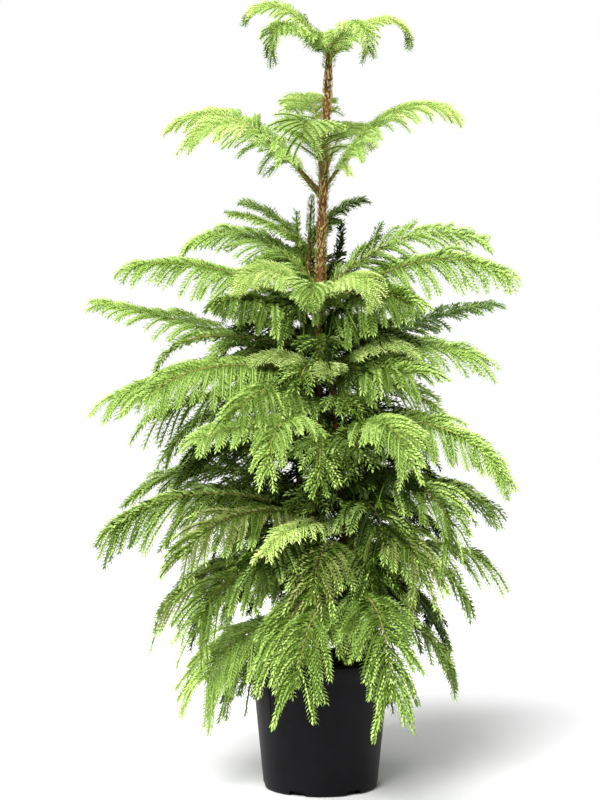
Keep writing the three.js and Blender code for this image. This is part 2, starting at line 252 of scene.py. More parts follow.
# Growth rule, as in the part's source but carried to every twig. Boughs also sway sideways, in a
# wave that varies with the heading.
PITCH_POWER = 1.8
BOUGH_STEPS = 24
BOUGH_SIDES = 5
BOUGH_REACH = 0.91
BOUGH_ROOT_RADIUS = 3.2
BOUGH_TIP_RADIUS = 0.9
BOUGH_SWAY = 0.014
BOUGH_WAVE = (3, 5)
BOUGH_WAVE_KINDS = 7
BOUGH_ROLL = 29
BOUGH_ROLL_VARIES = 14
TWIG_STEPS = 4
TWIG_SIDES = 3
TWIG_RADIUS = 1.9
TWIG_TAPER = 0.7
TWIG_PITCH = 17
TUFT_TWIG_PITCH = 9
LIMBED_TWIG_PITCH = 11
FEWEST_TWIGS = 3
FIRST_TWIG = 0.08
LAST_TWIG = 0.99
FULLEST = 0.3
ROOT_SHARE = 0.55
TIP_POWER = 1.2
TWIG_SPREAD = 60
TWIG_SPREAD_AT_TIP = 38
TWIG_CLOSES = 0.75
TWIG_CLOSES_VARIES = 0.3
TWIG_HANG_VARIES = 0.25
TWIG_SPREAD_VARIES = 11
TWIG_LIFT = 0.15
TWIG_LIFT_VARIES = 0.14
TWIG_LENGTH_VARIES = 0.18
TWIG_PLACE_VARIES = 0.25
TWIG_CLEARANCE = 5

# Companions: shorter boughs beside and a little under those of a whorl, each with the bough's
# number, how far it is turned from it, and its share of that bough's length
COMPANIONS = {
    "third": ((1, -25, 0.75), (2, 28, 0.5), (3, -28, 0.75)),
    "third_low": ((1, -26, 0.6), (2, 26, 0.6)),
    "fourth": ((1, 30, 0.65), (2, 32, 0.85), (4, -28, 0.75), (5, 22, 0.7)),
    "fifth": ((2, -30, 0.6), (2, 36, 0.85), (3, -28, 0.8), (3, 34, 0.8)),
    "front_fifth": ((1, 26, 0.75),),
    "sixth": ((1, -18, 0.8), (2, 30, 0.85), (3, 30, 0.85), (5, 22, 0.75)),
    "right_sixth": ((1, -30, 0.7),),
    "seventh": ((3, 28, 0.85), (4, -28, 0.85), (4, 32, 0.8)),
    "right_seventh": ((1, -24, 0.8), (2, 24, 0.8)),
    "lowest": ((2, -20, 0.7), (3, 34, 0.6), (4, -36, 0.6)),
}
COMPANION_DROP = 20
COMPANION_DIPS = 4
# Companions take a darker tone than their bough: painted shade
COMPANION_TONES = {"fresh": "bright"}
COMPANION_TONE = "mid"

# Short inner boughs that fill the middle of the plant between the whorls, mid or deep in tone as
# painted shade inside the crown, more often deep low down
INNER_LOWEST = 330
INNER_HIGHEST = 880
INNER_STEP = 42
GOLDEN_TURN = 137.508
INNER_PER_STEP = 3
INNER_LENGTH = (110, 210)
INNER_TWIG = (50, 80)
INNER_TIP = 0.6
INNER_HANG = (1.2, 0.7)
INNER_RISE = (20, 50)
INNER_NOD = (-70, -35)
INNER_LIT_SHARE = 0.2

# Fillers: single boughs between the whorls, two of them upright shoots, with a row as above
FILLERS = (
    dict(stem="stem_back", height=880, twig=32, hang=0.3, row=(10, 185, 50, 95, "deep")),
    dict(stem="stem_back", height=930, twig=18, hang=0.2, row=(180, 140, 75, 92, "bright")),
    dict(stem="trunk", height=806, twig=20, hang=0.8, bend=4, row=(190, 375, 8, -95, "bright")),
    dict(stem="trunk", height=745, twig=70, hang=1, row=(185, 370, 20, -50, "fresh")),
    dict(stem="trunk", height=735, twig=70, hang=1.2, row=(345, 290, 8, -60, "fresh")),
    dict(stem="trunk", height=715, twig=110, hang=1.6, row=(200, 350, 6, -30, "bright")),
    dict(stem="trunk", height=705, twig=80, hang=1.4, row=(190, 340, 4, -60, "bright")),
    dict(stem="stem_front", height=745, twig=65, hang=1, row=(250, 130, 35, -70, "bright")),
    dict(stem="stem_right", height=690, twig=65, hang=1, row=(285, 120, 35, -70, "bright")),
    dict(stem="stem_front", height=690, twig=65, hang=1, row=(232, 140, 35, -70, "bright")),
    dict(stem="trunk", height=680, twig=65, hang=1, row=(305, 170, 35, -70, "mid")),
    dict(stem="stem_right", height=585, twig=65, hang=1, row=(262, 130, 35, -70, "mid")),
    dict(stem="stem_front", height=560, twig=65, hang=1, row=(285, 140, 35, -70, "mid")),
    dict(stem="trunk", height=560, twig=65, hang=1, row=(322, 190, 35, -70, "mid")),
    dict(stem="trunk", height=410, twig=70, hang=1.6, row=(352, 355, 16, -75, "bright")),
    dict(stem="stem_right", height=395, twig=65, hang=1, row=(280, 170, 35, -70, "deep")),
    dict(stem="stem_front", height=420, twig=65, hang=1, row=(240, 180, 35, -70, "deep")),
)

# Needles: slim keeled blades of four faces, set in pairs that are tipped up and down in turn.
# Each kind has its length, spacing, half width and lean on twigs, its length along the bough,
# and how many tones darker the twig is than its needles, a darkness that partly paints the shade
# between the needles.
PAIR_TILT = math.radians(32)
FINE_NEEDLES = dict(needle=9, spacing=0.95, half=0.95, axis=10, lean=60, core=2)
FULL_NEEDLES = dict(needle=11.5, spacing=1.55, half=1.75, axis=13, lean=47, core=1)
INNER_NEEDLES = dict(needle=12, spacing=2.2, half=1.7, axis=13, lean=48, core=1)
BOUGH_NEEDLE_SPACING = 0.95
NEEDLE_FULLEST = 0.5
NEEDLE_BOW = 0.9
NEEDLE_SEAT = 0.7
BOUGH_NEEDLE_LEAN = 54
NEEDLE_LEAN_VARIES = 5
TWIG_NEEDLES_UNEVEN = 0.15
BOUGH_NEEDLES_UNEVEN = 0.5
NEEDLE_SIZES = (0.8, 1.12)
TIP_CLOSES = 35
TIP_CLOSES_POWER = 20
TIP_SHRINKS = 0.2
TIP_SHRINKS_POWER = 10
NEEDLES_PER_PIECE = 45000
STEM_NEEDLES_FROM = 900
STEM_NEEDLED = 60
STEM_NEEDLES = dict(spacing=0.4, length=9, half=1.4, lean=32, uneven=1.5)
LEADER_NEEDLES = dict(spacing=0.4, length=11, half=1.1, lean=48, uneven=1.5)

# Tones: a ladder from the palest to the darkest, two that stand apart, with what their stalks have
# at root, middle and tip, and the stem's own. Each has two colours in screen values. Besides the
# needles' own greens, the ladder carries painted light and shade: the dark rungs are dealt to boughs
# in the shaded middle of the crown, and the pale ones also go to boughs in shade so that they look lit.
LADDER = ("pale", "fresh", "bright", "mid", "deep")
NEEDLE_COLOURS = {
    "pale": ((216, 233, 146), (206, 226, 130)),
    "fresh": ((190, 218, 120), (174, 206, 102)),
    "bright": ((154, 184, 90), (136, 168, 74)),
    "mid": ((102, 128, 44), (82, 108, 30)),
    "deep": ((40, 60, 6), (28, 46, 3)),
    "grey": ((136, 166, 104), (114, 146, 84)),
    "olive": ((166, 174, 104), (142, 156, 82)),
    "stem": ((206, 182, 118), (168, 138, 82)),
}
APART = {"olive": ("mid", "olive", "fresh"), "grey": ("mid", "grey", "bright")}
NEEDLE_GLOSS = {tone: 0.5 for tone in NEEDLE_COLOURS}
NEEDLE_GLOSS.update(mid=0.3, deep=0.1)
# Bough bark in a light copy for boughs of lit tones and a dark copy for the rest: painted light and shade
BOUGH_COLOURS = {"light": ((158, 150, 84), (124, 112, 62)), "dark": ((100, 86, 46), (70, 58, 32))}
LIT_TONES = LADDER[:3]
SHADED_SHARE = 0.35
ROOT_TONE_TO = 0.22
TIP_TONE_FROM = 0.8
TONE_STEPS = (-1, 0, 0, 0, 1)
TIP_TONE_STEPS = (0, 0, 1)

# Finishes: scales of the patches and the grain, least and most roughness, bump and gloss, and
# two colours where these are not given by tone
POT_FINISH = dict(
    colours=((19, 17, 21), (13, 12, 15)), patches=26, grain=900, rough=(0.42, 0.56), bump=0.12, gloss=0.13)
SOIL_FINISH = dict(
    colours=((46, 36, 28), (26, 20, 16)), patches=90, grain=420, rough=(0.85, 1.0), bump=0.8, gloss=0.15)
CHIP_FINISH = dict(
    colours=((84, 62, 44), (40, 30, 22)), patches=60, grain=500, rough=(0.8, 1.0), bump=0.6, gloss=0.2)
STEM_FINISH = dict(
    colours=((132, 90, 48), (84, 54, 30)), patches=45, grain=380, rough=(0.75, 0.95), bump=0.9, gloss=0.25)
LIMB_FINISH = dict(
    colours=((122, 100, 56), (88, 68, 40)), patches=60, grain=420, rough=(0.75, 0.95), bump=0.8, gloss=0.25)
FLOOR_FINISH = dict(
    colours=((241, 241, 241), (238, 238, 238)), patches=3, grain=40, rough=(0.8, 0.9), bump=0, gloss=0.2)
BOUGH_FINISH = dict(patches=60, grain=420, rough=(0.7, 0.9), bump=0.6, gloss=0.25)
TWIG_FINISH = dict(patches=60, grain=420, rough=(0.6, 0.8), bump=0.2, gloss=0.3)
NEEDLE_FINISH = dict(patches=34, grain=300, rough=(0.38, 0.54), bump=0)
PATCH_DETAIL = 3
PATCH_EDGES = (0.32, 0.68)
GRAIN_DETAIL = 4
SCREEN_GAMMA = 2.2

draw = np.random.default_rng(SEED)


def mix(a, b, share):
    return a + (b - a) * share


def unit(rows):
    return rows / np.linalg.norm(rows, axis=-1, keepdims=True)


def linear(colour):
    """A colour given in screen values, as a linear one with full alpha."""
    return tuple((value / 255) ** SCREEN_GAMMA for value in colour) + (1.0,)


# Materials

def mottle_group():
    """Two colours mixed in soft patches, and a finer grain."""
    group = bpy.data.node_groups.new("Mottle", "ShaderNodeTree")
    for name in ("Colour", "Second colour"):
        group.interface.new_socket(name, in_out="INPUT", socket_type="NodeSocketColor")
    for name in ("Patch scale", "Grain scale"):
        group.interface.new_socket(name, in_out="INPUT", socket_type="NodeSocketFloat")
    group.interface.new_socket("Colour", in_out="OUTPUT", socket_type="NodeSocketColor")
    group.interface.new_socket("Grain", in_out="OUTPUT", socket_type="NodeSocketFloat")
    nodes, links = group.nodes, group.links
    given = nodes.new("NodeGroupInput")
    put = nodes.new("NodeGroupOutput")
    place = nodes.new("ShaderNodeTexCoord")
    patches = nodes.new("ShaderNodeTexNoise")
    patches.inputs["Detail"].default_value = PATCH_DETAIL
    grain = nodes.new("ShaderNodeTexNoise")
    grain.inputs["Detail"].default_value = GRAIN_DETAIL
    share = nodes.new("ShaderNodeMapRange")
    share.inputs["From Min"].default_value = PATCH_EDGES[0]
    share.inputs["From Max"].default_value = PATCH_EDGES[1]
    blend = nodes.new("ShaderNodeMix")
    blend.data_type = "RGBA"
    links.new(place.outputs["Object"], patches.inputs["Vector"])
    links.new(place.outputs["Object"], grain.inputs["Vector"])
    links.new(given.outputs["Patch scale"], patches.inputs["Scale"])
    links.new(given.outputs["Grain scale"], grain.inputs["Scale"])
    links.new(patches.outputs["Fac"], share.inputs["Value"])
    links.new(share.outputs["Result"], blend.inputs["Factor"])
    links.new(given.outputs["Colour"], blend.inputs["A"])
    links.new(given.outputs["Second colour"], blend.inputs["B"])
    links.new(blend.outputs["Result"], put.inputs["Colour"])
    links.new(grain.outputs["Fac"], put.inputs["Grain"])
    return group


MOTTLE = mottle_group()


def mottled_material(name, colours, patches, grain, rough, bump, gloss):
    """A finish from the mottle group, its grain giving the roughness and any bump."""
    material = bpy.data.materials.new(name)
    material.use_nodes = True
    nodes, links = material.node_tree.nodes, material.node_tree.links
    shader = nodes["Principled BSDF"]
    shader.inputs["Specular IOR Level"].default_value = gloss
    mottle = nodes.new("ShaderNodeGroup")
    mottle.node_tree = MOTTLE
    mottle.inputs["Colour"].default_value = linear(colours[0])
    mottle.inputs["Second colour"].default_value = linear(colours[1])
    mottle.inputs["Patch scale"].default_value = patches
    mottle.inputs["Grain scale"].default_value = grain
    roughness = nodes.new("ShaderNodeMapRange")
    roughness.inputs["To Min"].default_value = rough[0]
    roughness.inputs["To Max"].default_value = rough[1]
    links.new(mottle.outputs["Colour"], shader.inputs["Base Color"])
    links.new(mottle.outputs["Grain"], roughness.inputs["Value"])
    links.new(roughness.outputs["Result"], shader.inputs["Roughness"])
    if bump > 0:
        relief = nodes.new("ShaderNodeBump")
        relief.inputs["Strength"].default_value = bump
        relief.inputs["Distance"].default_value = MM
        links.new(mottle.outputs["Grain"], relief.inputs["Height"])
        links.new(relief.outputs["Normal"], shader.inputs["Normal"])
    return material


def finish_piece(piece, material, nodes=()):
    piece.data.materials.clear()
    piece.data.materials.append(material)
    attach(piece, BODY)
    if nodes:
        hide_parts(*nodes)


# Shaping by hand

def start_piece(name):
    piece = bpy.context.object
    piece.name = name
    piece.data.name = name
    bpy.ops.object.transform_apply(location=True, rotation=True, scale=True)
    return piece


def pick(piece, kind, chosen):
    """Go to edit mode with only the chosen faces or edges of the piece selected."""
    bpy.ops.object.mode_set(mode="EDIT")
    bpy.ops.mesh.select_mode(type=kind)
    bpy.ops.mesh.select_all(action="DESELECT")
    bpy.ops.object.mode_set(mode="OBJECT")
    parts = piece.data.polygons if kind == "FACE" else piece.data.edges
    for part in parts:
        part.select = chosen(part)
    bpy.ops.object.mode_set(mode="EDIT")


def apply_modifier(piece, kind, **values):
    modifier = piece.modifiers.new(kind.title(), kind)
    for key, value in values.items():
        setattr(modifier, key, value)
    bpy.context.view_layer.objects.active = piece
    bpy.ops.object.modifier_apply(modifier=modifier.name)


def raise_rings(name, points, radii, sides, turn=(0, 0, 0)):
    """A disc extruded from ring to ring through the points, in metres, and closed at both ends."""
    bpy.ops.object.select_all(action="DESELECT")
    bpy.ops.mesh.primitive_circle_add(
        vertices=sides, radius=radii[0], fill_type="NGON", location=points[0], rotation=turn)
    piece = start_piece(name)
    bpy.ops.object.mode_set(mode="EDIT")
    bpy.ops.mesh.select_all(action="SELECT")
    for i in range(1, len(points)):
        step = tuple(points[i][k] - points[i - 1][k] for k in range(3))
        bpy.ops.mesh.extrude_region_move(TRANSFORM_OT_translate={"value": step})
        grow = radii[i] / radii[i - 1]
        bpy.ops.transform.resize(value=(grow, grow, grow), center_override=points[i])
    bpy.ops.mesh.select_all(action="SELECT")
    bpy.ops.mesh.normals_make_consistent(inside=False)
    bpy.ops.object.mode_set(mode="OBJECT")
    return piece


def bark_relief(piece, grain, relief):
    texture = bpy.data.textures.new(piece.name + "_relief", "CLOUDS")
    texture.noise_scale = grain * MM
    texture.noise_depth = BARK_DETAIL
    apply_modifier(piece, "SUBSURF", levels=1, render_levels=1)
    apply_modifier(piece, "DISPLACE", texture=texture, strength=relief * MM, texture_coords="LOCAL")
    bpy.ops.object.select_all(action="DESELECT")
    piece.select_set(True)
    bpy.ops.object.shade_smooth()


# Meshes from arrays

def array_piece(name, spots, faces, smooth=True):
    mesh = bpy.data.meshes.new(name)
    mesh.vertices.add(len(spots))
    mesh.vertices.foreach_set("co", np.ascontiguousarray(spots, np.float32).ravel())
    mesh.loops.add(len(faces) * 3)
    mesh.loops.foreach_set("vertex_index", np.ascontiguousarray(faces, np.int32).ravel())
    mesh.polygons.add(len(faces))
    mesh.polygons.foreach_set("loop_start", np.arange(0, len(faces) * 3, 3, dtype=np.int32))
    mesh.polygons.foreach_set("use_smooth", np.full(len(faces), smooth))
    mesh.update(calc_edges=True)
    mesh.validate()
    piece = bpy.data.objects.new(name, mesh)
    bpy.context.collection.objects.link(piece)
    return piece


def tube_arrays(paths, normals, radii, sides):
    """Tapering closed tubes along paths with the same number of points, as spots and faces."""
    count, steps, _ = paths.shape
    along = unit(np.gradient(paths, axis=1))
    across = np.repeat(normals[:, None, :], steps, 1)
    over = np.cross(along, across)
    turns = np.arange(sides) * 2 * math.pi / sides
    ring = across[:, :, None, :] * np.cos(turns)[:, None] + over[:, :, None, :] * np.sin(turns)[:, None]
    walls = paths[:, :, None, :] + ring * radii[:, :, None, None]
    ends = paths[:, -1:, :] + along[:, -1:, :] * radii[:, -1:, None]
    spots = np.concatenate([walls.reshape(count, -1, 3), ends], 1)
    faces = []
    tip = steps * sides
    for j in range(sides):
        after = (j + 1) % sides
        for i in range(steps - 1):
            low, high = i * sides, (i + 1) * sides
            faces += [(low + j, high + j, low + after), (low + after, high + j, high + after)]
        faces += [(tip - sides + j, tip, tip - sides + after)]
    for j in range(1, sides - 1):
        faces += [(0, j, j + 1)]
    faces = np.arange(count)[:, None, None] * (tip + 1) + np.array(faces)
    return spots.reshape(-1, 3), faces.reshape(-1, 3)


# Pot and soil

def wall_radius(height):
    return mix(POT_BASE_RADIUS, POT_SHOULDER_RADIUS, height / (POT_HEIGHT - POT_LIP_HEIGHT))


def arc(centre, radius, begin, end, steps):
    turns = [math.radians(mix(begin, end, i / steps)) for i in range(steps + 1)]
    return [(centre[0] + radius * math.cos(t), centre[1] + radius * math.sin(t)) for t in turns]


def pot_profile():
    """Radius and height from the underside's edge, up the wall, over the lip and down inside."""
    lip_foot = POT_HEIGHT - POT_LIP_HEIGHT
    inner = wall_radius(lip_foot) - POT_WALL
    depth = POT_HEIGHT - POT_INSIDE_DEPTH
    corner = arc((POT_BASE_RADIUS - POT_CORNER, POT_CORNER), POT_CORNER, -90, 0, POT_CORNER_STEPS)
    heights = np.linspace(2 * POT_CORNER, lip_foot - POT_LIP_EASE, POT_WALL_RINGS)
    wall = [(wall_radius(height), height) for height in heights]
    lip = [
        (wall_radius(lip_foot) + POT_LIP_FOOT_STEP, lip_foot),
        (POT_RIM_RADIUS - POT_LIP_EASE, lip_foot + POT_LIP_EASE / 2),
        (POT_RIM_RADIUS, lip_foot + POT_LIP_ROUND),
    ]
    round_centre = (POT_RIM_RADIUS - POT_LIP_ROUND, POT_HEIGHT - POT_LIP_ROUND)
    lip += arc(round_centre, POT_LIP_ROUND, 0, 90, POT_LIP_STEPS)
    inside = [
        (inner + POT_LIP_EASE, POT_HEIGHT),
        (inner, POT_HEIGHT - POT_LIP_EASE),
        (inner, lip_foot),
        (wall_radius(depth) - POT_WALL, depth),
    ]
    return corner + wall + lip + inside


def cut_notch(pot, heading):
    """A foot notch with sloping sides, cut from the pot's lower corner."""
    reach = NOTCH_DEPTH * 2
    turn = math.radians(heading)
    place = (POT_BASE_RADIUS * MM * math.cos(turn), POT_BASE_RADIUS * MM * math.sin(turn), 0)
    bpy.ops.object.select_all(action="DESELECT")
    bpy.ops.mesh.primitive_cube_add(
        size=1, location=place, rotation=(0, 0, turn),
        scale=(reach * MM, (NOTCH_WIDTH + NOTCH_SLOPE) * MM, NOTCH_HEIGHT * 2 * MM))
    cutter = start_piece("notch_cutter")

    def upper_and_outward(edge):
        ends = [np.array(cutter.data.vertices[v].co) for v in edge.vertices]
        along = abs(np.dot(unit(ends[1] - ends[0]), (math.cos(turn), math.sin(turn), 0)))
        return bool(min(ends[0][2], ends[1][2]) > 0 and along > NEARLY)

    pick(cutter, "EDGE", upper_and_outward)
    bpy.ops.mesh.bevel(offset=NOTCH_SLOPE * MM, segments=NOTCH_SLOPE_STEPS)
    bpy.ops.object.mode_set(mode="OBJECT")
    apply_modifier(pot, "BOOLEAN", object=cutter, operation="DIFFERENCE", solver="EXACT")
    bpy.data.objects.remove(cutter)


def add_rib(pot, heading):
    """A broad shallow pad down the wall below the lip, with rounded edges."""
    turn = math.radians(heading)
    middle = (RIB_FOOT + RIB_HEAD) / 2
    slope = math.atan2(wall_radius(RIB_HEAD) - wall_radius(RIB_FOOT), RIB_HEAD - RIB_FOOT)
    thick = 2 * RIB_PROUD
    radius = wall_radius(middle) * MM
    bpy.ops.object.select_all(action="DESELECT")
    bpy.ops.mesh.primitive_cube_add(
        size=1, location=(radius * math.cos(turn), radius * math.sin(turn), middle * MM),
        rotation=(0, slope, turn),
        scale=(thick * MM, RIB_WIDTH * MM, (RIB_HEAD - RIB_FOOT) * MM))
    rib = start_piece("rib")
    bpy.ops.object.mode_set(mode="EDIT")
    bpy.ops.mesh.select_all(action="SELECT")
    bpy.ops.mesh.bevel(offset=RIB_BEVEL * MM, segments=RIB_BEVEL_STEPS)
    bpy.ops.object.mode_set(mode="OBJECT")
    apply_modifier(pot, "BOOLEAN", object=rib, operation="UNION", solver="EXACT")
    bpy.data.objects.remove(rib)


def make_pot():
    profile = pot_profile()
    points = [(0, 0, height * MM) for _, height in profile]
    pot = raise_rings("pot_body", points, [radius * MM for radius, _ in profile], POT_SIDES)
    for i in range(NOTCH_COUNT):
        cut_notch(pot, NOTCH_FIRST_HEADING + 360 / NOTCH_COUNT * i)
    for heading in RIB_HEADINGS:
        add_rib(pot, heading)
    bpy.ops.object.select_all(action="DESELECT")
    pot.select_set(True)
    bpy.context.view_layer.objects.active = pot
    bpy.ops.object.shade_smooth_by_angle(angle=math.radians(POT_SMOOTH_ANGLE))
    finish_piece(pot, mottled_material("Black pot plastic", **POT_FINISH), ["pot"])


def make_soil():
    edge = (wall_radius(SOIL_TOP) - POT_WALL - SOIL_EDGE_GAP) * MM
    top = SOIL_TOP * MM
    bottom = top - SOIL_DEPTH * MM
    soil = raise_rings("soil_bed", [(0, 0, bottom), (0, 0, top)], [edge, edge], SOIL_SIDES)
    pick(soil, "FACE", lambda face: face.normal.z > NEARLY)
    for _ in range(SOIL_RINGS):
        bpy.ops.mesh.inset(thickness=edge / (SOIL_RINGS + 1))
    bpy.ops.mesh.poke()
    bpy.ops.object.mode_set(mode="OBJECT")
    lumps = soil.vertex_groups.new(name="surface")
    lumped = edge * SOIL_LUMPED_SHARE
    inside = [v.index for v in soil.data.vertices if math.hypot(v.co.x, v.co.y) < lumped]
    lumps.add(inside, 1, "REPLACE")
    texture = bpy.data.textures.new("soil_lumps", "CLOUDS")
    texture.noise_scale = SOIL_LUMP_SPREAD * MM
    texture.noise_depth = SOIL_LUMP_DETAIL
    apply_modifier(
        soil, "DISPLACE", texture=texture, strength=SOIL_LUMP * MM, direction="Z",
        vertex_group="surface", texture_coords="LOCAL")
    finish_piece(soil, mottled_material("Dark potting soil", **SOIL_FINISH), ["soil"])


def make_chips():
    """Bark chips and crumbs strewn on the soil, each a small uneven eight-faced lump."""
    edge = (wall_radius(SOIL_TOP) - POT_WALL - CHIP_LARGEST) * MM
    radius = edge * np.sqrt(draw.random(CHIP_COUNT))
    turn = draw.random(CHIP_COUNT) * 2 * math.pi
    lift = SOIL_TOP * MM + draw.random(CHIP_COUNT) * MM
    centre = np.stack([radius * np.cos(turn), radius * np.sin(turn), lift], 1)
    corner = np.array([(1, 0, 0), (0, 1, 0), (-1, 0, 0), (0, -1, 0), (0, 0, 1), (0, 0, -1)], float)
    size = CHIP_LARGEST / 2 * MM * draw.uniform(*CHIP_SIZES, (CHIP_COUNT, 1, 1))
    size = size * draw.uniform(*CHIP_CORNERS, (CHIP_COUNT, len(corner), 1))
    spin = draw.random(CHIP_COUNT) * 2 * math.pi
    cos, sin = np.cos(spin), np.sin(spin)
    zero, one = np.zeros(CHIP_COUNT), np.ones(CHIP_COUNT)
    spins = [np.stack(row, 1) for row in ((cos, -sin, zero), (sin, cos, zero), (zero, zero, one))]
    turned = np.einsum("nij,kj->nki", np.stack(spins, 1), corner)
    spots = (centre[:, None, :] + turned * size * CHIP_SHAPE).reshape(-1, 3)
    faces = []
    for k in range(4):
        faces += [(k, (k + 1) % 4, 4), ((k + 1) % 4, k, 5)]
    faces = np.arange(CHIP_COUNT)[:, None, None] * len(corner) + np.array(faces)
    piece = array_piece("soil_chips", spots, faces.reshape(-1, 3), smooth=False)
    finish_piece(piece, mottled_material("Bark chips", **CHIP_FINISH))


# Growth

def stem_point(stem, height):
    share = (height - SOIL_TOP) / (stem["top"] - SOIL_TOP)
    x = mix(stem["foot"][0], stem["tip"][0], share) + stem["bow"] * math.sin(math.pi * share)
    return np.array((x, mix(stem["foot"][1], stem["tip"][1], share), height)) * MM


def stem_radius(stem, height):
    share = (height - SOIL_TOP) / (stem["fork"] - SOIL_TOP)
    flare = 1 + FLARE * math.exp(-(height - SOIL_TOP) / FLARE_HEIGHT)
    if height > stem["fork"]:
        past = (height - stem["fork"]) / (stem["top"] - stem["fork"])
        return mix(stem["thin"], LEADER_TIP_RADIUS, past) * MM
    return mix(stem["thick"], stem["thin"], share) * flare * MM


def twig_share(share, root, tip):
    """A twig's length along its bough, as a share of the longest."""
    if share < FULLEST:
        return mix(root, 1, math.sin(math.pi / 2 * share / FULLEST))
    return mix(1, tip, ((share - FULLEST) / (1 - FULLEST)) ** TIP_POWER)


def bough_list():
    """Every bough with its mass, tone, start on its stem, limb share and twig sizes."""
    boughs = []
    for name, tuft in TUFTS.items():
        stem = STEMS[tuft["stem"]]
        for i, row in enumerate(tuft["boughs"]):
            height = stem["fork"] + TUFT_BOUGH_START + TUFT_BOUGH_STAGGER * i
            boughs.append(dict(
                mass=name, row=row, start=stem_point(stem, height), limb=0, twig=tuft["twig"],
                tip=tuft["tip"], root=ROOT_SHARE, first=FIRST_TWIG, hang=tuft["hang"],
                lift=tuft["lift"], pitch=TUFT_TWIG_PITCH, bend=tuft.get("bend", PITCH_POWER),
                ends=tuft.get("ends"), **FINE_NEEDLES))
    for name, whorl in WHORLS.items():
        stem = STEMS[whorl["stem"]]
        limbed = whorl.get("limbed", False)
        middle = (len(whorl["boughs"]) - 1) / 2
        for i, row in enumerate(whorl["boughs"]):
            height = whorl["height"] + WHORL_STAGGER * (middle - i)
            mass = f"spray_{name}_{i + 1}"
            boughs.append(dict(
                mass=mass, row=row, start=stem_point(stem, height),
                limb=LIMB_SHARE if limbed else 0, twig=whorl["twig"],
                tip=whorl["tip"], root=1 if limbed else ROOT_SHARE, first=FIRST_TWIG,
                hang=whorl["hang"], lift=whorl["lift"], bend=whorl.get("bend", PITCH_POWER),
                ends=None, pitch=LIMBED_TWIG_PITCH if limbed else TWIG_PITCH,
                **(FINE_NEEDLES if limbed else FULL_NEEDLES)))
            boughs[-1].update(APART_SPRAYS.get(mass, {}))
    return boughs


def companion_boughs(boughs):
    by_mass = {bough["mass"]: bough for bough in boughs}
    companions = []
    for whorl, rows in COMPANIONS.items():
        for number, turn, share in rows:
            bough = by_mass[f"spray_{whorl}_{number}"]
            heading, length, rise, nod, tone = bough["row"]
            tone = COMPANION_TONES.get(tone, COMPANION_TONE)
            row = (heading + turn, length * share, rise - COMPANION_DIPS, nod, tone)
            start = bough["start"] - UP * COMPANION_DROP * MM
            companions.append({**bough, "row": row, "start": start})
    return companions


def inner_bough(row, start, twig, hang, bend=PITCH_POWER):
    return dict(
        mass="", row=row, start=start, limb=0, twig=twig, tip=INNER_TIP, root=ROOT_SHARE,
        first=FIRST_TWIG, hang=hang, lift=TWIG_LIFT, bend=bend, ends=None, pitch=TWIG_PITCH,
        **INNER_NEEDLES)


def inner_boughs():
    """Short boughs, each turned on from the last by the golden angle, and the fillers."""
    boughs = []
    heading = 0
    for height in np.arange(INNER_LOWEST, INNER_HIGHEST, INNER_STEP):
        share = (height - INNER_LOWEST) / (INNER_HIGHEST - INNER_LOWEST)
        hang = mix(*INNER_HANG, share)
        tall = [name for name, stem in STEMS.items() if stem["fork"] > height + INNER_STEP]
        for _ in range(INNER_PER_STEP):
            heading += GOLDEN_TURN
            stem = STEMS[draw.choice(tall)]
            length = draw.uniform(*INNER_LENGTH)
            rise = draw.uniform(*INNER_RISE)
            nod = draw.uniform(*INNER_NOD)
            # Deep more often low down: painted shade inside the crown
            tone = "mid" if draw.random() < share + INNER_LIT_SHARE else "deep"
            row = (heading % 360, length, rise, nod, tone)
            boughs.append(inner_bough(row, stem_point(stem, height), draw.uniform(*INNER_TWIG), hang))
    for filler in FILLERS:
        start = stem_point(STEMS[filler["stem"]], filler["height"])
        boughs.append(inner_bough(
            filler["row"], start, filler["twig"], filler["hang"], filler.get("bend", PITCH_POWER)))
    return boughs


def bough_curve(bough):
    """The bough's points and the level direction across it."""
    heading, length, rise, nod, _ = bough["row"]
    turn = math.radians(heading)
    share = (np.arange(BOUGH_STEPS) + 0.5) / BOUGH_STEPS
    pitch = np.radians(mix(rise, nod, share ** bough["bend"]))
    step = np.stack([np.cos(pitch) * math.cos(turn), np.cos(pitch) * math.sin(turn), np.sin(pitch)], 1)
    run = np.vstack([np.zeros(3), np.cumsum(step, 0)]) * length * BOUGH_REACH * MM / BOUGH_STEPS
    across = np.array((-math.sin(turn), math.cos(turn), 0))
    ends = np.linspace(0, 1, BOUGH_STEPS + 1)
    wave = mix(*BOUGH_WAVE, (heading % BOUGH_WAVE_KINDS) / BOUGH_WAVE_KINDS)
    sway = np.sin(ends * wave + heading) * ends * length * BOUGH_SWAY * MM
    return bough["start"] + run + across * sway[:, None], across


def clear_of_wood(points):
    """True where a twig keeps off the stems and the pot."""
    x, y, z = points.T
    if np.any((z < POT_HEIGHT * MM) & (np.hypot(x, y) < (POT_RIM_RADIUS + TWIG_CLEARANCE) * MM)):
        return False
    for stem in STEMS.values():
        for point in points:
            height = point[2] / MM
            if SOIL_TOP < height < stem["top"]:
                away = np.hypot(*(point - stem_point(stem, height))[:2])
                if away < stem_radius(stem, height) + TWIG_CLEARANCE * MM:
                    return False
    return True


def rolled(across, roll):
    """The direction across a bough, tipped so that the side toward the front hangs lower."""
    return unit(across + UP * across[1] * math.tan(math.radians(roll)))


